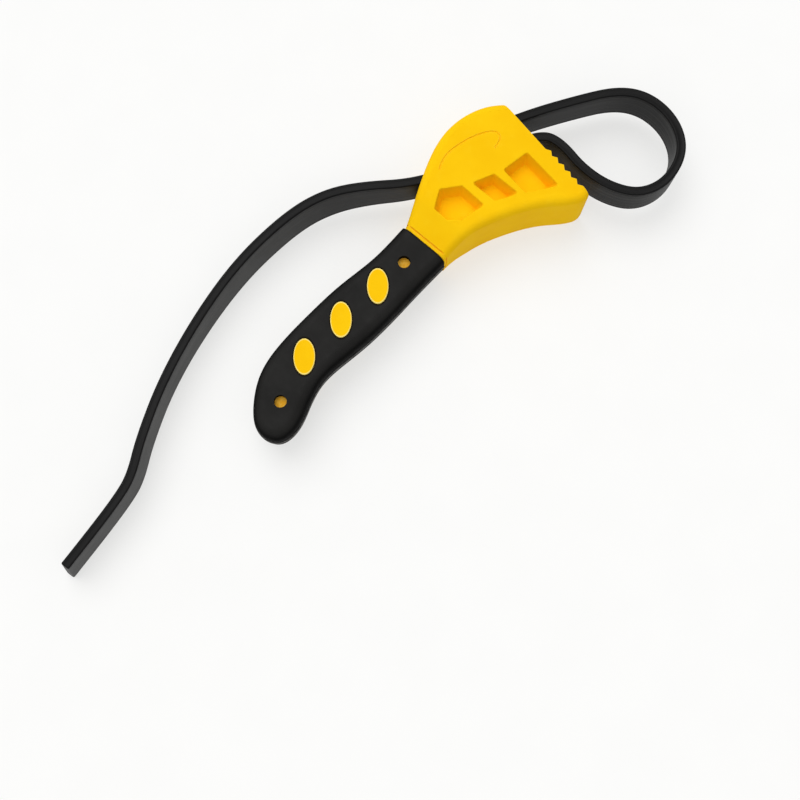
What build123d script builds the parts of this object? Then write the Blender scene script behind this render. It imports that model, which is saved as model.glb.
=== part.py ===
from build123d import *
import math
import os

# Rubber strap wrench for oil filters.  Millimetres, +Z up.
# The origin lies on the flat lower face of the head, under its middle.
# +X runs along the handle towards the head, and the strap's loop lies on the -Y side.

# Overall sections
HEAD_THICKNESS = 38.0
MID_Z = HEAD_THICKNESS / 2
STRAP_WIDTH = 22.0
STRAP_THICKNESS = 5.0
STRAP_LOW = MID_Z - STRAP_WIDTH / 2
GRIP_THICKNESS = 22.0
GRIP_LOW = MID_Z - GRIP_THICKNESS / 2

# Neck, where the head meets the grip
NECK_X = -53.4
NECK_UPPER_Y = 19.5
NECK_LOWER_Y = -7.6
NECK_THICKNESS = 24.0
SLOPE_START_X = -36.0
SLOPE_BLEND_RADIUS = 18.0
GROOVE_X = -51.7
GROOVE_WIDTH = 0.8
GROOVE_DEPTH = 0.9

# Head outline.  The blank is made longer at the front, and then trimmed to a sharp straight edge.
HEAD_FRONT_TOP = (30.6, 21.0)
HEAD_FRONT_BOTTOM = (19.5, -42.8)
BLANK_TOP = (34.5, 18.6)
BLANK_BOTTOM = (26.2, -45.6)
BLANK_TOP_RADIUS = 5.0
BLANK_BOTTOM_RADIUS = 8.0
HEAD_EDGE_RADIUS = 4.3
FRONT_CORNER = (30.8, 22.4)
FRONT_CORNER_RADIUS = 2.5
FRONT_CORNER_HEADING = 136.0

# Teeth that stand out from the lower half of the front edge
TOOTH_COUNT = 6
TOOTH_PITCH = 4.98
TOOTH_HEIGHT = 1.7
TOOTH_FIRST_Y = -13.1
TOOTH_TIP_SHIFT = 0.3
TOOTH_ROUND = 0.3

# Pockets moulded into both faces of the head
POCKET_DEPTH = 9.0
POCKET_DRAFT = 15.0
POCKET_CORNER_RADIUS = 1.1
POCKET_MOUTH_RADIUS = 0.7
POCKETS = [
    [(-27.8, 17.9), (-18.6, 10.1), (-19.3, -5.5), (-33.4, -1.5), (-38.0, 4.2), (-37.8, 13.4)],
    [(-14.2, 7.3), (-2.8, 1.5), (-2.7, -15.1), (-13.9, -8.6)],
    [(1.9, -0.6), (17.6, -4.0), (14.2, -28.5), (-0.1, -17.5)],
]

# Engraved open curve above the pockets
BADGE_POINTS = [
    (-19.6, 24.8),
    (-15.4, 26.5),
    (-10.0, 27.2),
    (-4.0, 26.3),
    (3.7, 23.9),
    (9.6, 21.1),
    (14.0, 17.8),
    (15.7, 15.0),
    (14.8, 12.3),
    (12.0, 10.8),
    (8.6, 10.4),
]
BADGE_LINE_RADIUS = 0.5

# Slots through the head for the two strands of the strap
SLOT_CLEARANCE = 0.6
SLOT_HEIGHT_CLEARANCE = 0.5
BEAD_CENTRE = (0.0, 29.2)
BEAD_RADIUS = 4.5
BEAD_CLEARANCE = 0.5
BEAD_EXIT_ANGLE = 112.0

# Outline of the grip's curved side, from the neck round its end and back to the neck
GRIP_POINTS = [
    (NECK_X, 21.4),
    (-76.0, 22.4),
    (-98.0, 26.2),
    (-120.0, 28.4),
    (-142.0, 29.2),
    (-160.0, 26.8),
    (-175.0, 18.8),
    (-184.2, 6.8),
    (-181.8, -3.4),
    (-170.6, -6.6),
    (-157.0, -3.2),
    (-144.0, -0.2),
    (-126.0, -1.9),
    (-108.0, -4.7),
    (-86.0, -6.1),
    (NECK_X, -7.6),
]
GRIP_STEPS = 32

# Handle core inside the grip
CORE_INSET = 4.0
CORE_THICKNESS = 14.0
GRIP_EDGE_RADIUS = 6.0
PARTING_RIDGE_HEIGHT = 1.2
PARTING_RIDGE_PROUD = 0.5

# Oval bosses of the core that show in windows of the grip
OVAL_CENTRES = [(-86.8, 9.9), (-112.8, 12.7), (-139.9, 14.2)]
OVAL_HALF_LENGTH = 9.6
OVAL_HALF_WIDTH = 5.6
OVAL_TURN = 41.0
OVAL_PROUD = 0.5
OVAL_EDGE_RADIUS = 0.45
OVAL_GAP = 0.3

# Round holes through the grip down to the core
HOLE_CENTRES = [(-68.0, 8.0), (-165.4, 8.2)]
HOLE_RADIUS = 3.3

# Strap route.  The points are the corners that the strap's centreline rounds.
LOOP_ROUTE = [
    (24.0, 17.7),
    (36.0, 11.95),
    (60.0, -3.2),
    (80.0, -17.5),
    (88.0, -32.5),
    (86.5, -51.0),
    (76.0, -65.3),
    (57.5, -69.5),
    (42.0, -63.0),
    (34.5, -48.0),
    (33.0, -30.5),
    (36.8, -13.0),
    (34.0, -1.9),
    (24.0, 3.1),
]
TAIL_ROUTE = [
    (-12.0, 21.1),
    (-28.0, 29.1),
    (-53.0, 54.6),
    (-71.0, 66.4),
    (-92.0, 72.4),
    (-124.0, 75.6),
    (-160.0, 72.0),
    (-195.7, 63.9),
    (-225.6, 52.1),
    (-243.3, 42.4),
    (-255.5, 39.8),
    (-279.5, 37.7),
    (-303.5, 36.3),
]
ROUND_SHARE = 0.45
TAIL_DROP_START_X = -35.0
TAIL_DROP_END_X = -130.0
TAIL_END_X = -303.3
TAIL_END_CUT = 4.5

FAR = 400.0


def polar(centre, angle, distance):
    """The point at a distance and a direction in degrees from a centre in plan."""
    turn = math.radians(angle)
    return (centre[0] + distance * math.cos(turn), centre[1] + distance * math.sin(turn))


def heading(start, end):
    """The direction in degrees from one point to another in plan."""
    return math.degrees(math.atan2(end[1] - start[1], end[0] - start[0]))


def bar_in_plan(start, end, width):
    """A rectangle of a given width about the line from start to end, in plan."""
    middle = ((start[0] + end[0]) / 2, (start[1] + end[1]) / 2)
    length = math.dist(start, end)
    return Pos(*middle) * Rot(0, 0, heading(start, end)) * Rectangle(length, width)


def rise(sketch, low, high):
    """Extrude a plan sketch between two heights."""
    return extrude(Pos(0, 0, low) * sketch, amount=high - low)


def front_x(y):
    """The x of the head's straight front edge at a height y in plan."""
    share = (y - HEAD_FRONT_BOTTOM[1]) / (HEAD_FRONT_TOP[1] - HEAD_FRONT_BOTTOM[1])
    return HEAD_FRONT_BOTTOM[0] + share * (HEAD_FRONT_TOP[0] - HEAD_FRONT_BOTTOM[0])


def head_plan():
    """The fan-shaped outline of the head's blank, with rounded front corners."""
    back = Spline((NECK_X, NECK_UPPER_Y), (-24.4, 31.0), (2.0, 36.4), (18.0, 32.6), BLANK_TOP)
    front = Line(BLANK_TOP, BLANK_BOTTOM)
    lower = Spline(
        BLANK_BOTTOM, (14.0, -41.4), (3.0, -31.3), (-13.5, -19.5), (-33.0, -10.4), (NECK_X, NECK_LOWER_Y)
    )
    neck = Line((NECK_X, NECK_LOWER_Y), (NECK_X, NECK_UPPER_Y))
    plan = make_face([back, front, lower, neck])
    plan = fillet(plan.vertices().sort_by_distance((*BLANK_TOP, 0))[0], BLANK_TOP_RADIUS)
    return fillet(plan.vertices().sort_by_distance((*BLANK_BOTTOM, 0))[0], BLANK_BOTTOM_RADIUS)


def head_side_profile():
    """The side view of the head, which thins towards the neck on both faces."""
    half_neck = NECK_THICKNESS / 2
    outline = Polyline(
        (NECK_X, MID_Z - half_neck),
        (SLOPE_START_X, 0),
        (FAR, 0),
        (FAR, HEAD_THICKNESS),
        (SLOPE_START_X, HEAD_THICKNESS),
        (NECK_X, MID_Z + half_neck),
        close=True,
    )
    profile = make_face(outline)
    bends = profile.vertices().filter_by_position(Axis.X, SLOPE_START_X - 1, SLOPE_START_X + 1)
    return fillet(bends, SLOPE_BLEND_RADIUS)


def head_blank():
    """The solid head before its pockets, slots and teeth, with rounded face edges."""
    block = rise(head_plan(), 0, HEAD_THICKNESS)
    side = extrude(Plane.XZ * head_side_profile(), amount=FAR / 4, both=True)
    block = block & side
    broad = [f for f in block.faces() if abs(f.normal_at().Z) > 0.5]
    rims = []
    for face in broad:
        for edge in face.edges():
            shared = sum(1 for other in broad for e in other.edges() if e.is_same(edge))
            at_neck = abs(edge.center().X - NECK_X) < 0.1
            if shared == 1 and not at_neck:
                rims.append(edge)
    return fillet(rims, HEAD_EDGE_RADIUS)


def drafted_pocket(points):
    """One pocket as a solid to cut: drafted walls, rounded corners, a rounded floor."""
    outline = make_face(Polyline(*points, close=True))
    cut = extrude(Pos(0, 0, HEAD_THICKNESS) * outline, amount=-POCKET_DEPTH, taper=POCKET_DRAFT)
    inner = [edge for edge in cut.edges() if edge.center().Z < HEAD_THICKNESS - 0.1]
    return fillet(inner, POCKET_CORNER_RADIUS)


def soften_mouths(body):
    """Round the mouths of the pockets on both faces of the head."""
    mouths = []
    for points in POCKETS:
        middle = (sum(p[0] for p in points) / len(points), sum(p[1] for p in points) / len(points))
        reach = max(math.dist(middle, p) for p in points)
        for edge in body.edges().filter_by(GeomType.LINE):
            place = edge.center()
            on_face = min(abs(place.Z), abs(place.Z - HEAD_THICKNESS)) < 0.01
            behind_front = place.X < front_x(place.Y) - POCKET_MOUTH_RADIUS
            if on_face and behind_front and math.dist(middle, (place.X, place.Y)) < reach:
                mouths.append(edge)
    return fillet(mouths, POCKET_MOUTH_RADIUS)


def lower_copy(shape):
    """The mirror image of a shape about the tool's middle plane."""
    return mirror(shape, about=Plane.XY.offset(MID_Z))


def tooth_line():
    """The corners of the toothed stretch of the front edge, from its top to its bottom."""
    corners = []
    for index in range(TOOTH_COUNT):
        tip_y = TOOTH_FIRST_Y - index * TOOTH_PITCH
        valley_y = tip_y + TOOTH_PITCH / 2 + TOOTH_TIP_SHIFT
        corners.append((front_x(valley_y), valley_y))
        corners.append((front_x(tip_y) + TOOTH_HEIGHT, tip_y))
    return corners


def front_trim_plan():
    """Everything in front of the head's finished front edge, in plan."""
    teeth = tooth_line()
    corner_start = polar(FRONT_CORNER, FRONT_CORNER_HEADING, 30)
    below = (front_x(-FAR / 4) + TOOTH_HEIGHT, -FAR / 4)
    outline = Polyline(corner_start, FRONT_CORNER, *teeth, below, (FAR, -FAR / 4), (FAR, FAR / 4), close=True)
    trim = make_face(outline)
    tooth_corners = [v for v in trim.vertices() if teeth[-1][1] - 0.1 < v.Y < teeth[0][1] + 0.1]
    trim = fillet(tooth_corners, TOOTH_ROUND)
    head_corner = trim.vertices().sort_by_distance((*FRONT_CORNER, 0))[0]
    return fillet(head_corner, FRONT_CORNER_RADIUS)


def anchor_slot_plan():
    """The upper slot: a straight way in from the front, and the bead's seat open to the back."""
    width = STRAP_THICKNESS + 2 * SLOT_CLEARANCE
    front_end = polar(BEAD_CENTRE, heading(BEAD_CENTRE, LOOP_ROUTE[0]), 60)
    seat_radius = BEAD_RADIUS + BEAD_CLEARANCE
    way_out = polar(BEAD_CENTRE, BEAD_EXIT_ANGLE, 20)
    plan = bar_in_plan(BEAD_CENTRE, front_end, width)
    plan += Pos(*BEAD_CENTRE) * Circle(seat_radius)
    plan += bar_in_plan(BEAD_CENTRE, way_out, 2 * seat_radius)
    return plan


def channel_plan():
    """The lower channel, which is straight through the head and flares at its mouth."""
    width = STRAP_THICKNESS + 2 * SLOT_CLEARANCE
    inner_end = LOOP_ROUTE[-1]
    backward = heading(inner_end, TAIL_ROUTE[0])
    back_end = polar(inner_end, backward, 90)
    front_end = polar(inner_end, backward, -25)
    plan = bar_in_plan(back_end, front_end, width)
    flare = Polyline((18.0, 3.5), (25.5, -10.6), (45.0, -14.0), (45.0, 0.0), close=True)
    return plan + fillet(make_face(flare).vertices().sort_by(Axis.Y)[1], 4.0)


def neck_groove():
    """The narrow groove all round the neck, next to its end collar."""
    middle_y = (NECK_UPPER_Y + NECK_LOWER_Y) / 2
    thickness = NECK_THICKNESS + 1.6
    width = NECK_UPPER_Y - NECK_LOWER_Y + 0.8
    ring = Box(GROOVE_WIDTH, 2 * width, 2 * thickness)
    ring -= Box(GROOVE_WIDTH, width - 2 * GROOVE_DEPTH, thickness - 2 * GROOVE_DEPTH)
    return Pos(GROOVE_X, middle_y, MID_Z) * ring


def badge_line():
    """The engraved open curve on the upper face, as a round bar to cut."""
    path = Pos(0, 0, HEAD_THICKNESS) * Spline(*BADGE_POINTS)
    section = Plane(path @ 0, x_dir=(0, 0, 1), z_dir=path % 0) * Circle(BADGE_LINE_RADIUS)
    return sweep(section, path=path)


def grip_side():
    """The grip's curved side, from the neck round its end and back to the neck."""
    return Spline(*GRIP_POINTS, tangents=[(-1, 0.02), (1, -0.06)])


def grip_plan(grow=0.0):
    """The outline of the grip, ending square at the neck, larger all round by grow."""
    side = grip_side()
    corners = []
    for step in range(GRIP_STEPS + 1):
        along = step / GRIP_STEPS
        heading = side % along
        outward = Vector(heading.Y, -heading.X)
        corners.append(side @ along + outward * grow)
    grown = Spline(*corners) if grow else side
    return make_face([grown, Line(grown @ 1, grown @ 0)])


def oval(centre, grow=0.0):
    """One oval of the grip in plan, larger all round by grow."""
    shape = Ellipse(OVAL_HALF_LENGTH + grow, OVAL_HALF_WIDTH + grow)
    return Pos(*centre) * Rot(0, 0, OVAL_TURN) * shape


def handle_core():
    """The flat core inside the grip, with its oval bosses."""
    low = MID_Z - CORE_THICKNESS / 2
    core = rise(grip_plan(-CORE_INSET), low, low + CORE_THICKNESS)
    middle_y = (NECK_UPPER_Y + NECK_LOWER_Y) / 2
    width = NECK_UPPER_Y - NECK_LOWER_Y - 2 * CORE_INSET
    core += Pos(NECK_X, middle_y, MID_Z) * Box(2 * CORE_INSET, width, CORE_THICKNESS)
    for centre in OVAL_CENTRES:
        boss = rise(oval(centre), GRIP_LOW - OVAL_PROUD, GRIP_LOW + GRIP_THICKNESS + OVAL_PROUD)
        rims = [edge for face in boss.faces().filter_by(Axis.Z) for edge in face.edges()]
        core += fillet(rims, OVAL_EDGE_RADIUS)
    return core


def head_and_core():
    """The head and the core of the handle, moulded in one piece."""
    body = head_blank() - rise(front_trim_plan(), -1, HEAD_THICKNESS + 1)
    for points in POCKETS:
        cut = drafted_pocket(points)
        body -= cut
        body -= lower_copy(cut)
    body = soften_mouths(body)
    slot_low = STRAP_LOW - SLOT_HEIGHT_CLEARANCE
    slot_high = STRAP_LOW + STRAP_WIDTH + SLOT_HEIGHT_CLEARANCE
    body -= rise(anchor_slot_plan(), slot_low, slot_high)
    body -= rise(channel_plan(), slot_low, slot_high)
    body -= neck_groove()
    body -= badge_line()
    return body + handle_core()


def grip_sleeve(core):
    """The moulded-on grip, open where the core shows through."""
    plan = grip_plan()
    sleeve = rise(plan, GRIP_LOW, GRIP_LOW + GRIP_THICKNESS)
    rims = [
        e
        for face in sleeve.faces().filter_by(Axis.Z)
        for e in face.edges()
        if e.length > 2 * GRIP_THICKNESS
    ]
    sleeve = fillet(rims, GRIP_EDGE_RADIUS)
    ridge_plan = grip_plan(PARTING_RIDGE_PROUD)
    sleeve += rise(ridge_plan, MID_Z - PARTING_RIDGE_HEIGHT / 2, MID_Z + PARTING_RIDGE_HEIGHT / 2)
    for centre in HOLE_CENTRES:
        sleeve -= Pos(*centre, MID_Z) * Cylinder(HOLE_RADIUS, 2 * GRIP_THICKNESS)
    for centre in OVAL_CENTRES:
        sleeve -= rise(oval(centre, OVAL_GAP), 0, HEAD_THICKNESS)
    return sleeve - core


def rounded_route(points):
    """Straight runs joined by tangent arcs, each as large as its two runs allow."""
    radii = []
    for before, corner, after in zip(points, points[1:], points[2:]):
        run_in = Vector(*corner) - Vector(*before)
        run_out = Vector(*after) - Vector(*corner)
        half_turn = math.radians(run_in.get_angle(run_out)) / 2
        shorter = min(run_in.length, run_out.length)
        radii.append(ROUND_SHARE * shorter / math.tan(half_turn))
    return FilletPolyline(*points, radius=radii), radii


def band(points, low, high, name):
    """A strap standing on edge along a route, between two heights."""
    path, radii = rounded_route(points)
    path = Pos(0, 0, (low + high) / 2) * path
    start = path @ 0
    section = Plane(start, x_dir=(0, 0, 1), z_dir=path % 0) * Rectangle(high - low, STRAP_THICKNESS)
    body = sweep(section, path=path)
    print(name, "length", round(path.length, 1), "radii", [round(r, 1) for r in radii])
    swept = path.length * (high - low) * STRAP_THICKNESS
    print(name, "volume over section x length", round(body.volume / swept, 4))
    return body


def strap_fixed_end():
    """The strap's moulded bead and the strand that leaves it through the upper slot."""
    bead = Pos(*BEAD_CENTRE) * Circle(BEAD_RADIUS)
    strand = bar_in_plan(BEAD_CENTRE, LOOP_ROUTE[0], STRAP_THICKNESS)
    return rise(bead + strand, STRAP_LOW, STRAP_LOW + STRAP_WIDTH)


def strap_channel_run():
    """The straight stretch of the strap that slides in the head's lower channel."""
    run = bar_in_plan(LOOP_ROUTE[-1], TAIL_ROUTE[0], STRAP_THICKNESS)
    return rise(run, STRAP_LOW, STRAP_LOW + STRAP_WIDTH)


def strap_loop():
    """The free loop that goes round the filter."""
    return band(LOOP_ROUTE, STRAP_LOW, STRAP_LOW + STRAP_WIDTH, "strap_loop")


def strap_tail():
    """The free tail, which comes down from the head and stands on edge, with its end cut on a slant."""
    tall = band(TAIL_ROUTE, -2.0, HEAD_THICKNESS, "strap_tail")
    outline = make_face(
        Polyline(
            (0, STRAP_LOW),
            (TAIL_DROP_START_X, STRAP_LOW),
            (TAIL_DROP_END_X, 0),
            (TAIL_END_X, 0),
            (TAIL_END_X + TAIL_END_CUT, STRAP_WIDTH),
            (TAIL_DROP_END_X, STRAP_WIDTH),
            (TAIL_DROP_START_X, STRAP_LOW + STRAP_WIDTH),
            (0, STRAP_LOW + STRAP_WIDTH),
            close=True,
        )
    )
    slab = extrude(Plane.XZ * outline, amount=FAR, both=True)
    return tall & slab


def build():
    """Make every sub-part and write it to its own file."""
    os.makedirs("parts", exist_ok=True)
    core = head_and_core()
    nodes = {
        "head_and_core": core,
        "grip_sleeve": grip_sleeve(core),
        "strap_fixed_end": strap_fixed_end(),
        "strap_loop": strap_loop(),
        "strap_channel_run": strap_channel_run(),
        "strap_tail": strap_tail(),
    }
    for name, shape in nodes.items():
        export_step(shape, f"parts/{name}.step")


build()
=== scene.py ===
import math

import bmesh
import bpy
from mathutils import Matrix, Vector


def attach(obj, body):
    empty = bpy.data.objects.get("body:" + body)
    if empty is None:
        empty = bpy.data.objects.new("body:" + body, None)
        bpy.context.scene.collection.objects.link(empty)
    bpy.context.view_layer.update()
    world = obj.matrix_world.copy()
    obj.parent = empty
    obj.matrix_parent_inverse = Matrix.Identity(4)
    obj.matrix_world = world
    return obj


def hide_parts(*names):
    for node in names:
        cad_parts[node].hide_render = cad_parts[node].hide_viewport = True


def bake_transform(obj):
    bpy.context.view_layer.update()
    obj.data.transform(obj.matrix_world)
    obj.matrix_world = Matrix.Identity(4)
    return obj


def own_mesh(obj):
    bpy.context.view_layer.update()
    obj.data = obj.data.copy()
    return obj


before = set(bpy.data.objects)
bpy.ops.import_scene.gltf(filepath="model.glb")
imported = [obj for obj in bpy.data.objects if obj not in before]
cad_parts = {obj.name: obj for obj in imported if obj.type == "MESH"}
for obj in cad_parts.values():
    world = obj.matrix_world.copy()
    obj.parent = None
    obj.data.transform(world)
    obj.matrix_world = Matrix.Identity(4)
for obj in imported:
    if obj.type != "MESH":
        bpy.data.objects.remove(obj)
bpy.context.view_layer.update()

MM = 0.001
SCENE = bpy.context.scene
UP = Vector((0, 0, 1))

# The camera looks down steeply at the wrench as it lies on a pale floor.
CAMERA_TARGET = Vector((-0.121, -0.0344, 0.0))
CAMERA_ELEVATION = 79.5
CAMERA_DISTANCE = 0.6439
CAMERA_LENS = 54.0
SENSOR_WIDTH = 36.0
PICTURE_RIGHT = Vector((0.6484, -0.7613, 0.0)).normalized()
PICTURE_UP = UP.cross(PICTURE_RIGHT)

# Studio light.  Angles are in degrees, and a sun's angle is its apparent size.
SKY_LOW = 0.25
SKY_HIGH = 0.60
KEY_ELEVATION = 60.0
KEY_STRENGTH = 1.45
KEY_ANGLE = 50.0
FILL_ELEVATION = 70.0
FILL_STRENGTH = 0.4
FILL_ANGLE = 90.0
FLOOR_GLOW = 0.62
FLOOR_SIZE = 6.0

# The strap's section and its route, which is the CAD model's
STRAP_WIDTH = 22 * MM
STRAP_THICKNESS = 5 * MM
STRAP_LOW = 8 * MM
STRAP_MID_Z = STRAP_LOW + STRAP_WIDTH / 2
LOOP_ROUTE = [
    (24.0, 17.7),
    (36.0, 11.95),
    (60.0, -3.2),
    (80.0, -17.5),
    (88.0, -32.5),
    (86.5, -51.0),
    (76.0, -65.3),
    (57.5, -69.5),
    (42.0, -63.0),
    (34.5, -48.0),
    (33.0, -30.5),
    (36.8, -13.0),
    (34.0, -1.9),
    (24.0, 3.1),
]
TAIL_ROUTE = [
    (-12.0, 21.1),
    (-28.0, 29.1),
    (-53.0, 54.6),
    (-71.0, 66.4),
    (-92.0, 72.4),
    (-124.0, 75.6),
    (-160.0, 72.0),
    (-195.7, 63.9),
    (-225.6, 52.1),
    (-243.3, 42.4),
    (-255.5, 39.8),
    (-279.5, 37.7),
    (-303.5, 36.3),
]
TAIL_DROP_START_X = -35.0
TAIL_DROP_END_X = -130.0
BEAD_CENTRE = (0.0, 29.2)
BEAD_RADIUS = 4.5

# Strap section details, in mm, and how finely its meshes are divided
SECTION_CORNER = 0.8
SECTION_CORNER_STEPS = 4
RIM_RECESS = 0.16
RIM_RECESS_HALF = 1.1
RIM_BLEND = 0.35
FACE_LINE_HEIGHTS = (9.3, -9.3)
FACE_LINE_DEPTH = 0.14
FACE_LINE_HALF = 0.3
CURVE_RESOLUTION = 28
CLOSEST_POINTS = 0.05
CHANNEL_STEPS = 24
BEAD_STEPS = 28
BEAD_BEVEL_STEPS = 3

# The strap's free end, in mm: its rounding, and how far its slanted cut goes back at the top
END_RADIUS = 0.8
END_STEPS = (0.0, 0.08, 0.3, 1.0)
TAIL_CUT = 4.5
CUT_FADE = 14.0

# The tail's lean, in mm over its width.  It grows from the first x to the second, and fades from
# the third to the last.
LEAN = 2.4
LEAN_START_X = -28.0
LEAN_FULL_X = -70.0
LEAN_FADE_X = -90.0
LEAN_END_X = -215.0

# Heights and places, in the shared frame, where the plastic and rubber change colour, mostly for
# painted highlights, painted bounce light and painted shade
GRIP_START_X = -60 * MM
OVAL_CENTRES = [(-86.8, 9.9), (-112.8, 12.7), (-139.9, 14.2)]
OVAL_HALF_AXES = (9.6, 5.6)
OVAL_TURN = 41.0
FAR_FROM_OVALS = 10.0
OVAL_RIM_LOW = 29.4 * MM
HOLE_FLOOR_Z = 26 * MM
PARTING_Z = 19 * MM
PARTING_HALF = 0.75 * MM


# ---- Camera and light


def make_camera():
    """A camera at the viewing angle above, with the picture's right side along PICTURE_RIGHT."""
    data = bpy.data.cameras.new("camera")
    data.lens = CAMERA_LENS
    data.sensor_width = SENSOR_WIDTH
    camera = bpy.data.objects.new("camera", data)
    SCENE.collection.objects.link(camera)
    steep = math.radians(CAMERA_ELEVATION)
    back = UP * math.sin(steep) - PICTURE_UP * math.cos(steep)
    up = back.cross(PICTURE_RIGHT)
    rows = [[PICTURE_RIGHT[i], up[i], back[i]] for i in range(3)]
    camera.location = CAMERA_TARGET + back * CAMERA_DISTANCE
    camera.rotation_mode = "QUATERNION"
    camera.rotation_quaternion = Matrix(rows).to_quaternion()
    SCENE.camera = camera


def make_sun(name, ground_direction, elevation, strength, angle):
    """A soft sun that shines from a direction on the ground and an elevation."""
    data = bpy.data.lights.new(name, "SUN")
    data.energy = strength
    data.angle = math.radians(angle)
    lamp = bpy.data.objects.new(name, data)
    SCENE.collection.objects.link(lamp)
    steep = math.radians(elevation)
    towards = ground_direction.normalized() * math.cos(steep) + UP * math.sin(steep)
    lamp.rotation_mode = "QUATERNION"
    lamp.rotation_quaternion = towards.to_track_quat("Z", "Y")


def make_world():
    """A studio room that is bright overhead and darker low down."""
    world = bpy.data.worlds.new("studio")
    world.use_nodes = True
    tree = world.node_tree
    background = tree.nodes["Background"]
    background.inputs["Color"].default_value = (1, 1, 1, 1)
    place = tree.nodes.new("ShaderNodeTexCoord")
    split = tree.nodes.new("ShaderNodeSeparateXYZ")
    height = tree.nodes.new("ShaderNodeMapRange")
    height.inputs["From Min"].default_value = 0.1
    height.inputs["From Max"].default_value = 0.9
    height.inputs["To Min"].default_value = SKY_LOW
    height.inputs["To Max"].default_value = SKY_HIGH
    tree.links.new(place.outputs["Generated"], split.inputs[0])
    tree.links.new(split.outputs["Z"], height.inputs["Value"])
    tree.links.new(height.outputs["Result"], background.inputs["Strength"])
    SCENE.world = world


# ---- Materials


class Shader:
    """A material's node tree with short ways to add and join nodes."""

    def __init__(self, name):
        self.material = bpy.data.materials.new(name)
        self.material.use_nodes = True
        self.tree = self.material.node_tree
        self.surface = self.tree.nodes["Principled BSDF"]

    def add(self, kind, settings=None, **inputs):
        """A node with attributes from settings, and inputs given as values or as sockets."""
        node = self.tree.nodes.new(kind)
        for key, value in (settings or {}).items():
            setattr(node, key, value)
        for key, value in inputs.items():
            self.put(node.inputs[key.replace("_", " ")], value)
        return node

    def put(self, socket, value):
        """Join a socket to another one, or set its value."""
        if isinstance(value, bpy.types.NodeSocket):
            self.tree.links.new(value, socket)
        else:
            socket.default_value = value

    def math(self, operation, first, second=0.0):
        """One math node's result."""
        node = self.tree.nodes.new("ShaderNodeMath")
        node.operation = operation
        self.put(node.inputs[0], first)
        self.put(node.inputs[1], second)
        return node.outputs[0]

    def ramp(self, value, low, high, start=0.0, end=1.0):
        """A clamped smooth ramp of a value."""
        node = self.add(
            "ShaderNodeMapRange",
            {"interpolation_type": "SMOOTHSTEP"},
            Value=value,
            From_Min=low,
            From_Max=high,
            To_Min=start,
            To_Max=end,
        )
        return node.outputs["Result"]

    def mix(self, share, first, second):
        """A blend of two colours."""
        node = self.tree.nodes.new("ShaderNodeMix")
        node.data_type = "RGBA"
        self.put(node.inputs["Factor"], share)
        self.put(node.inputs[6], first)
        self.put(node.inputs[7], second)
        return node.outputs[2]

    def noise(self, vector, scale, detail=3.0, roughness=0.5):
        """A noise texture's value, with its scale in waves per metre."""
        node = self.add(
            "ShaderNodeTexNoise",
            None,
            Vector=vector,
            Scale=scale,
            Detail=detail,
            Roughness=roughness,
        )
        return node.outputs["Fac"]

    def place(self):
        """The point in the object's own frame, in metres."""
        return self.add("ShaderNodeTexCoord").outputs["Object"]

    def part(self, vector, axis):
        """One part of a vector."""
        node = self.add("ShaderNodeSeparateXYZ")
        self.put(node.inputs[0], vector)
        return node.outputs[axis]

    def steepness(self):
        """0 where the surface faces straight up or down, 1 where it is upright."""
        upward = self.part(self.add("ShaderNodeNewGeometry").outputs["Normal"], "Z")
        return self.math("SUBTRACT", 1.0, self.math("ABSOLUTE", upward))

    def from_ovals(self, place):
        """The distance from the nearest oval's middle, as a share of the oval's size there."""
        half_length, half_width = (half * MM for half in OVAL_HALF_AXES)
        nearest = FAR_FROM_OVALS
        for x, y in OVAL_CENTRES:
            node = self.add("ShaderNodeMapping", {"vector_type": "TEXTURE"}, Vector=place)
            node.inputs["Location"].default_value = (x * MM, y * MM, 0.0)
            node.inputs["Rotation"].default_value = (0.0, 0.0, math.radians(OVAL_TURN))
            node.inputs["Scale"].default_value = (half_length, half_width, 1.0)
            length = self.add("ShaderNodeVectorMath", {"operation": "LENGTH"})
            self.put(length.inputs[0], node.outputs["Vector"])
            nearest = self.math("MINIMUM", length.outputs["Value"], nearest)
        return nearest

    def edges(self, radius):
        """1 near sharp convex or concave edges, 0 on flat and gently curved surfaces."""
        rounded = self.add("ShaderNodeBevel", {"samples": 4}, Radius=radius).outputs["Normal"]
        true = self.add("ShaderNodeNewGeometry").outputs["Normal"]
        dot = self.add("ShaderNodeVectorMath", {"operation": "DOT_PRODUCT"})
        self.put(dot.inputs[0], rounded)
        self.put(dot.inputs[1], true)
        return self.ramp(self.math("SUBTRACT", 1.0, dot.outputs["Value"]), 0.02, 0.25)

    def hollows(self, distance):
        """0 in the open, rising towards 1 in grooves and corners."""
        node = self.add("ShaderNodeAmbientOcclusion", {"samples": 6}, Distance=distance)
        return self.ramp(node.outputs["AO"], 0.25, 0.95, 1.0, 0.0)

    def bump(self, height, depth, normal=None):
        """A bumped normal of a real depth in metres."""
        node = self.add("ShaderNodeBump", None, Height=height, Distance=depth, Strength=1.0)
        if normal is not None:
            self.put(node.inputs["Normal"], normal)
        return node.outputs["Normal"]

    def finish(self, **inputs):
        """Set the surface's inputs and return the material."""
        for key, value in inputs.items():
            self.put(self.surface.inputs[key.replace("_", " ")], value)
        return self.material


def rgb(red, green, blue):
    """A linear colour with full opacity."""
    return (red, green, blue, 1.0)


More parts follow.
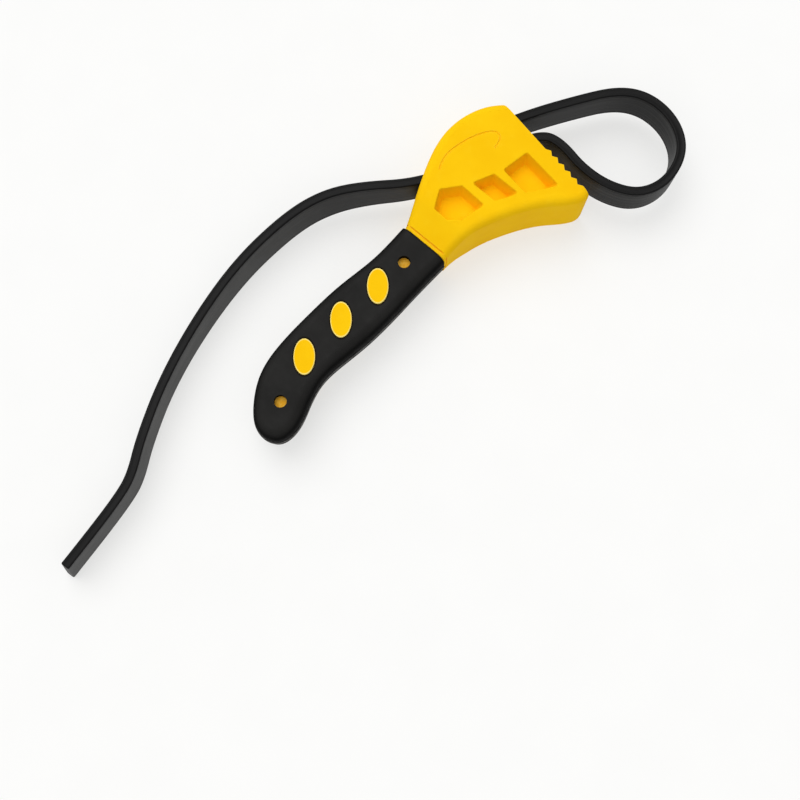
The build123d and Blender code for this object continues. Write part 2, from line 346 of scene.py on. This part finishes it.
def yellow_plastic():
    """Moulded plastic: a satin skin with faint flow marks, fine scuffs and worn edges, with painted
    shade in hollows, a painted highlight on the oval rims and painted bounce light on the hole
    floors.
    """
    s = Shader("yellow_plastic")
    place = s.place()
    clouds = s.noise(place, 45.0, 4.0)
    flow = s.noise(place, 160.0, 5.0, 0.6)
    grain = s.noise(place, 2600.0, 2.0)
    specks = s.noise(place, 900.0, 2.0)
    colour = s.mix(s.ramp(clouds, 0.3, 0.7), rgb(0.965, 0.555, 0.0045), rgb(1.0, 0.605, 0.006))
    colour = s.mix(s.ramp(flow, 0.52, 0.75, 0.0, 0.3), colour, rgb(0.99, 0.63, 0.016))
    worn = s.math("MULTIPLY", s.edges(0.7 * MM), s.ramp(specks, 0.35, 0.6, 0.15, 0.7))
    colour = s.mix(worn, colour, rgb(1.0, 0.68, 0.06))
    # Painted shade: the plastic is painted darker and deeper orange in grooves, pockets and
    # corners, where shade falls.
    hollow_shade = s.math("MULTIPLY", s.hollows(3.0 * MM), s.ramp(clouds, 0.3, 0.7, 0.3, 0.55))
    colour = s.mix(hollow_shade, colour, rgb(0.86, 0.41, 0.002))
    dust = s.ramp(specks, 0.74, 0.8, 0.0, 0.3)
    colour = s.mix(dust, colour, rgb(0.82, 0.46, 0.02))
    in_grip = s.ramp(s.part(place, "X"), GRIP_START_X + MM, GRIP_START_X)
    # Painted highlight: a paler yellow ring on the top edge of each oval boss in the grip, where
    # light catches the rounding.
    high = s.ramp(s.part(place, "Z"), OVAL_RIM_LOW, OVAL_RIM_LOW + 0.2 * MM)
    outer = s.ramp(s.from_ovals(place), 0.90, 0.95)
    rim_highlight = s.math("MULTIPLY", in_grip, s.math("MULTIPLY", high, outer))
    colour = s.mix(rim_highlight, colour, rgb(1.0, 0.80, 0.22))
    # Painted bounce light: the core at the bottom of the grip's round holes is painted a brighter
    # orange, for the warm light bounced inside the holes.
    from_floor = s.math("ABSOLUTE", s.math("SUBTRACT", s.part(place, "Z"), HOLE_FLOOR_Z))
    hole_bounce_light = s.math("MULTIPLY", in_grip, s.ramp(from_floor, 0.4 * MM, 0.1 * MM))
    hole_bounce_colour = s.mix(s.ramp(specks, 0.4, 0.6), rgb(0.97, 0.47, 0.03), rgb(1.0, 0.56, 0.07))
    colour = s.mix(hole_bounce_light, colour, hole_bounce_colour)
    rough = s.math("ADD", s.ramp(flow, 0.2, 0.8, 0.48, 0.60), s.math("MULTIPLY", worn, 0.12))
    normal = s.bump(grain, 0.035 * MM)
    normal = s.bump(flow, 0.10 * MM, normal)
    return s.finish(
        Base_Color=colour,
        Roughness=rough,
        Normal=normal,
        IOR=1.46,
        Specular_IOR_Level=0.01,
        Specular_Tint=rgb(1.0, 0.66, 0.10),
    )


def grip_rubber():
    """Soft black over-moulding: grained flat faces, painted shade on the roundings, in hollows and
    round the ovals, and a painted highlight along the parting line.
    """
    s = Shader("grip_rubber")
    place = s.place()
    clouds = s.noise(place, 60.0, 4.0)
    grain = s.noise(place, 3200.0, 3.0, 0.6)
    smears = s.noise(place, 220.0, 5.0, 0.65)
    dark = rgb(0.0135, 0.0132, 0.0126)
    light = rgb(0.0175, 0.0171, 0.0163)
    colour = s.mix(s.ramp(clouds, 0.3, 0.7), dark, light)
    colour = s.mix(s.ramp(smears, 0.58, 0.8, 0.0, 0.3), colour, rgb(0.026, 0.025, 0.0235))
    # Painted shade: faces that turn upright, such as the roundings, are painted near black; the
    # same share also raises their roughness.
    turned = s.ramp(s.steepness(), 0.12, 0.5)
    colour = s.mix(s.math("MULTIPLY", turned, 0.92), colour, rgb(0.0015, 0.0015, 0.0014))
    worn = s.math("MULTIPLY", s.edges(0.5 * MM), s.ramp(smears, 0.35, 0.6, 0.1, 0.4))
    colour = s.mix(worn, colour, rgb(0.04, 0.039, 0.037))
    # Painted shade in hollows and corners.
    colour = s.mix(s.math("MULTIPLY", s.hollows(1.5 * MM), 0.9), colour, rgb(0.004, 0.0035, 0.003))
    # Painted shade: a dark brown ring on the rubber round each oval, for the shadow in the gap.
    colour = s.mix(s.ramp(s.from_ovals(place), 1.16, 1.06), colour, rgb(0.007, 0.0035, 0.0008))
    # Painted highlight: a pale grey line along the parting line, where light catches the seam,
    # broken up by the smears.
    from_parting = s.math("ABSOLUTE", s.math("SUBTRACT", s.part(place, "Z"), PARTING_Z))
    parting_highlight = s.ramp(from_parting, PARTING_HALF, 0.6 * PARTING_HALF)
    parting_highlight = s.math("MULTIPLY", parting_highlight, s.ramp(smears, 0.3, 0.6, 0.5, 1.0))
    colour = s.mix(parting_highlight, colour, rgb(0.26, 0.255, 0.245))
    rough = s.math("ADD", s.ramp(smears, 0.3, 0.7, 0.62, 0.50), s.math("MULTIPLY", turned, 0.25))
    normal = s.bump(grain, 0.045 * MM)
    normal = s.bump(clouds, 0.12 * MM, normal)
    return s.finish(
        Base_Color=colour,
        Roughness=rough,
        Normal=normal,
        IOR=1.47,
        Specular_IOR_Level=0.08,
    )


def strap_rubber(name, painted_face_light, start_share):
    """Extruded rubber: black rims with a painted sheen on their tops, and streaked faces painted in
    the given face colour away from the start; a light face colour is a painted reflection of the
    bright floor.

    At the stretch's start the faces have only start_share of that colour.
    """
    s = Shader(name)
    place = s.place()
    along = s.add("ShaderNodeUVMap", {"uv_map": "strap"}).outputs["UV"]
    stretch = s.add("ShaderNodeVectorMath", {"operation": "MULTIPLY"})
    s.put(stretch.inputs[0], along)
    s.put(stretch.inputs[1], (14.0, 900.0, 1.0))
    streaks = s.noise(stretch.outputs[0], 1.0, 5.0, 0.6)
    patches = s.noise(place, 70.0, 4.0)
    grain = s.noise(place, 2400.0, 2.0)
    # The map's first part is the distance along the strap, and its second the height from the
    # middle of the strap's face, both in metres.
    from_middle = s.math("ABSOLUTE", s.part(along, "Y"))
    # Painted reflection: the faces' middle takes the given face colour, which on the tail is a
    # light grey that stands for the bright floor reflected in the upright faces.
    face = s.ramp(from_middle, 10.5 * MM, 9.9 * MM)
    face = s.math("MULTIPLY", face, s.ramp(streaks, 0.3, 0.75, 0.75, 1.0))
    face = s.math("MULTIPLY", face, s.ramp(patches, 0.3, 0.7, 0.8, 1.0))
    face = s.math("MULTIPLY", face, s.ramp(s.part(along, "X"), 20 * MM, 140 * MM, start_share, 1.0))
    dark = rgb(0.0035, 0.0035, 0.0037)
    light = rgb(0.0055, 0.0054, 0.0053)
    colour = s.mix(s.ramp(patches, 0.3, 0.7), dark, light)
    # Painted sheen: surfaces facing up or down, the rims, are painted a touch lighter in streaks.
    flat = s.ramp(s.steepness(), 0.2, 0.05)
    rim_highlight = s.math("MULTIPLY", flat, s.ramp(streaks, 0.3, 0.7, 0.3, 1.0))
    colour = s.mix(rim_highlight, colour, rgb(0.0062, 0.0061, 0.0060))
    colour = s.mix(face, colour, painted_face_light)
    worn = s.math("MULTIPLY", s.edges(0.5 * MM), s.ramp(patches, 0.4, 0.65, 0.0, 0.25))
    colour = s.mix(worn, colour, rgb(0.04, 0.04, 0.038))
    rough = s.ramp(streaks, 0.25, 0.75, 0.40, 0.55)
    normal = s.bump(grain, 0.03 * MM)
    normal = s.bump(streaks, 0.08 * MM, normal)
    return s.finish(
        Base_Color=colour,
        Roughness=rough,
        Normal=normal,
        IOR=1.5,
        Specular_IOR_Level=0.12,
    )


def floor_card():
    """White studio card that also glows a little, as if lit from behind."""
    s = Shader("floor_card")
    fibres = s.noise(s.place(), 30.0, 3.0)
    colour = s.mix(s.ramp(fibres, 0.3, 0.7), rgb(0.338, 0.338, 0.334), rgb(0.346, 0.346, 0.342))
    glow = rgb(1.0, 1.0, 0.99)
    return s.finish(
        Base_Color=colour,
        Roughness=0.95,
        Emission_Color=glow,
        Emission_Strength=FLOOR_GLOW,
    )


# ---- The strap


def route_curve(name, points):
    """The route's smooth line as a curve object, which isn't shown."""
    data = bpy.data.curves.new(name, "CURVE")
    data.dimensions = "3D"
    data.resolution_u = CURVE_RESOLUTION
    spline = data.splines.new("NURBS")
    spline.points.add(len(points) - 1)
    for point, place in zip(spline.points, points):
        point.co = (*(MM * value for value in place), 1.0)
    spline.order_u = 3
    spline.use_endpoint_u = True
    return bpy.data.objects.new(name, data)


def route_line(name, points):
    """Points read along the route's smooth line, in metres."""
    curve = route_curve(name, points)
    mesh = bpy.data.meshes.new_from_object(curve)
    line = [vertex.co.copy() for vertex in mesh.vertices]
    bpy.data.meshes.remove(mesh)
    bpy.data.objects.remove(curve)
    kept = [line[0]]
    for place in line[1:]:
        if (place - kept[-1]).length > CLOSEST_POINTS * MM:
            kept.append(place)
    return kept


def line_length(line):
    """The length of a line of points."""
    return sum((b - a).length for a, b in zip(line, line[1:]))


def quarter_profile():
    """One quarter of the strap's section, from the middle of its rim to the middle of its face."""
    half_width = STRAP_WIDTH / MM / 2
    half_thickness = STRAP_THICKNESS / MM / 2
    points = [(0.0, half_width - RIM_RECESS)]
    points.append((RIM_RECESS_HALF - RIM_BLEND, half_width - RIM_RECESS))
    points.append((RIM_RECESS_HALF, half_width - RIM_RECESS / 2))
    points.append((RIM_RECESS_HALF + RIM_BLEND, half_width))
    centre = (half_thickness - SECTION_CORNER, half_width - SECTION_CORNER)
    for step in range(SECTION_CORNER_STEPS + 1):
        turn = math.radians(90 - 90 * step / SECTION_CORNER_STEPS)
        across = centre[0] + SECTION_CORNER * math.cos(turn)
        up = centre[1] + SECTION_CORNER * math.sin(turn)
        points.append((across, up))
    line_height = FACE_LINE_HEIGHTS[0]
    points.append((half_thickness, line_height + 2 * FACE_LINE_HALF))
    points.append((half_thickness, line_height + FACE_LINE_HALF))
    points.append((half_thickness - FACE_LINE_DEPTH, line_height))
    points.append((half_thickness, line_height - FACE_LINE_HALF))
    points.append((half_thickness, line_height - 2 * FACE_LINE_HALF))
    points.append((half_thickness, line_height / 2))
    points.append((half_thickness, 0.0))
    return points


def strap_profile():
    """The whole section as (across, up) pairs in mm, once round."""
    quarter = quarter_profile()
    right = quarter + [(across, -up) for across, up in reversed(quarter[:-1])]
    left = [(-across, up) for across, up in reversed(right[1:-1])]
    return right + left


def end_inset(distance):
    """How far the section draws in near a rounded end, in metres."""
    radius = END_RADIUS * MM
    if distance >= radius:
        return 0.0
    return radius - math.sqrt(radius**2 - (radius - distance) ** 2)


def smooth_share(value, start, end):
    """0 up to the start, 1 from the end on, and a smooth step between them."""
    share = min(1.0, max(0.0, (value - start) / (end - start)))
    return share * share * (3 - 2 * share)


def lean_at(x):
    """How far the tail leans at a place x in metres, as metres over its width."""
    grown = smooth_share(x / MM, LEAN_START_X, LEAN_FULL_X)
    faded = smooth_share(x / MM, LEAN_FADE_X, LEAN_END_X)
    return LEAN * MM * grown * (1 - faded)


def strap_mesh(name, line, free_end=False, lean=lambda x: 0.0):
    """A strap on edge along a line.  A free end is rounded and cut back at the top; other ends are
    square, so that two stretches meet without a notch."""
    profile = strap_profile()
    total = line_length(line)
    half_width = STRAP_WIDTH / 2
    half_thickness = STRAP_THICKNESS / 2
    mesh = bmesh.new()
    uv = mesh.loops.layers.uv.new("strap")
    rings = []
    travelled = 0.0
    for index, place in enumerate(line):
        before = line[max(0, index - 1)]
        after = line[min(len(line) - 1, index + 1)]
        along = (after - before).normalized()
        side = UP.cross(along).normalized()
        if index:
            travelled += (place - line[index - 1]).length
        left = total - travelled
        inset = end_inset(left) if free_end else 0.0
        across_scale = (half_thickness - inset) / half_thickness
        up_scale = (half_width - inset) / half_width
        slant = TAIL_CUT * MM * max(0.0, 1 - left / (CUT_FADE * MM)) if free_end else 0.0
        ring = []
        for x, z in profile:
            height = z * up_scale * MM
            back = slant * (height + half_width) / STRAP_WIDTH
            across = x * across_scale * MM - lean(place.x) * height / STRAP_WIDTH
            ring.append(mesh.verts.new(place + side * across + UP * height - along * back))
        rings.append((travelled, ring))
    count = len(profile)
    for (from_start, first), (to_start, second) in zip(rings, rings[1:]):
        for i in range(count):
            j = (i + 1) % count
            face = mesh.faces.new((first[i], second[i], second[j], first[j]))
            heights = (profile[i][1], profile[i][1], profile[j][1], profile[j][1])
            distances = (from_start, to_start, to_start, from_start)
            for loop, distance, height in zip(face.loops, distances, heights):
                loop[uv].uv = (distance, height * MM)
            face.smooth = True
    for distance, ring, flip in ((0.0, rings[0][1], False), (travelled, rings[-1][1], True)):
        cap = mesh.faces.new(reversed(ring) if flip else ring)
        for loop in cap.loops:
            loop[uv].uv = (distance, half_width)
        for edge in cap.edges:
            edge.smooth = False
    bmesh.ops.recalc_face_normals(mesh, faces=mesh.faces)
    return mesh_object(name, mesh)


def mesh_object(name, mesh):
    """A scene object from a bmesh."""
    data = bpy.data.meshes.new(name)
    mesh.to_mesh(data)
    mesh.free()
    obj = bpy.data.objects.new(name, data)
    SCENE.collection.objects.link(obj)
    return obj


def with_end_rings(line):
    """The line with more points near its last end, where the section rounds off."""
    steps = [share * END_RADIUS * MM for share in END_STEPS]
    last = (line[-2] - line[-1]).normalized()
    room = 1.5 * steps[-1]
    inner = [p for p in line if (p - line[-1]).length > room]
    return inner + [line[-1] + last * s for s in reversed(steps)]


def tail_height(x):
    """The height of the tail's middle line where the strap comes down to the ground."""
    drop = (x - TAIL_DROP_START_X) / (TAIL_DROP_END_X - TAIL_DROP_START_X)
    return STRAP_MID_Z / MM - STRAP_LOW / MM * min(1.0, max(0.0, drop))


def fixed_end_mesh(name):
    """The moulded bead that anchors the strap, and the strand that leaves it."""
    centre = Vector(BEAD_CENTRE)
    end = Vector(LOOP_ROUTE[0])
    forward = (end - centre).normalized()
    side = Vector((-forward.y, forward.x))
    half = STRAP_THICKNESS / MM / 2
    opening = math.asin(half / BEAD_RADIUS)
    start_turn = math.atan2(forward.y, forward.x)
    outline = [end - side * half, end + side * half]
    for step in range(BEAD_STEPS + 1):
        turn = start_turn + opening + (2 * math.pi - 2 * opening) * step / BEAD_STEPS
        outline.append(centre + Vector((math.cos(turn), math.sin(turn))) * BEAD_RADIUS)
    mesh = bmesh.new()
    uv = mesh.loops.layers.uv.new("strap")
    base = [mesh.verts.new((p.x * MM, p.y * MM, STRAP_LOW)) for p in outline]
    floor_face = mesh.faces.new(base)
    made = bmesh.ops.extrude_face_region(mesh, geom=[floor_face])
    for item in made["geom"]:
        if isinstance(item, bmesh.types.BMVert):
            item.co.z += STRAP_WIDTH
    rims = [e for e in mesh.edges if abs(e.verts[0].co.z - e.verts[1].co.z) < 0.1 * MM]
    bmesh.ops.bevel(
        mesh,
        geom=rims,
        offset=SECTION_CORNER * MM,
        segments=BEAD_BEVEL_STEPS,
        profile=0.5,
        affect="EDGES",
    )
    bmesh.ops.recalc_face_normals(mesh, faces=mesh.faces)
    for face in mesh.faces:
        face.smooth = True
        for loop in face.loops:
            offset = loop.vert.co.xy / MM - centre
            loop[uv].uv = (offset.dot(forward) * MM, loop.vert.co.z - STRAP_MID_Z)
    return mesh_object(name, mesh)


def level_points(route):
    """A route in plan as points at the height of the strap's middle line in the head, in mm."""
    return [(x, y, STRAP_MID_Z / MM) for x, y in route]


def make_strap():
    """The four stretches of the strap, each in the place of its CAD node."""
    loop_line = route_line("loop_route", level_points(LOOP_ROUTE))
    loop = strap_mesh("strap_loop_piece", loop_line)
    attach(loop, "tool")
    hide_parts("strap_loop")
    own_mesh(loop)

    tail_line = route_line("tail_route", [(x, y, tail_height(x)) for x, y in TAIL_ROUTE])
    tail = strap_mesh("strap_tail_piece", with_end_rings(tail_line), True, lean_at)
    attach(tail, "strap")
    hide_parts("strap_tail")

    start = Vector((*LOOP_ROUTE[-1], STRAP_MID_Z / MM)) * MM
    end = Vector((*TAIL_ROUTE[0], STRAP_MID_Z / MM)) * MM
    run_line = [start.lerp(end, step / CHANNEL_STEPS) for step in range(CHANNEL_STEPS + 1)]
    run = strap_mesh("strap_channel_piece", run_line)
    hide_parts("strap_channel_run")
    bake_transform(run)

    fixed = fixed_end_mesh("strap_bead_piece")
    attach(fixed, "tool")
    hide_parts("strap_fixed_end")
    # The tail's copy of the rubber has faces painted light grey, a painted reflection of the bright
    # floor; the loop's copy keeps near-black faces, so the two are lit and shaded copies of one
    # rubber.
    lit_tail_rubber = strap_rubber("strap_rubber_tail_lit", rgb(0.062, 0.062, 0.061), 0.08)
    loop_rubber = strap_rubber("strap_rubber_loop", rgb(0.0060, 0.0060, 0.0059), 1.0)
    for piece in (loop, tail, run, fixed):
        piece.data.materials.append(lit_tail_rubber if piece is tail else loop_rubber)


def dress_node(name, material):
    """Give a CAD node its detailed material."""
    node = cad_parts[name]
    for place in node.material_slots:
        place.material = material


make_camera()
make_world()
make_sun("key", PICTURE_UP - 0.5 * PICTURE_RIGHT, KEY_ELEVATION, KEY_STRENGTH, KEY_ANGLE)
make_sun("fill", -PICTURE_RIGHT - PICTURE_UP, FILL_ELEVATION, FILL_STRENGTH, FILL_ANGLE)
SCENE.view_settings.view_transform = "Standard"

make_strap()
dress_node("head_and_core", yellow_plastic())
dress_node("grip_sleeve", grip_rubber())

bpy.ops.mesh.primitive_plane_add(size=FLOOR_SIZE)
floor = bpy.context.object
floor.name = "floor"
floor.data.materials.append(floor_card())
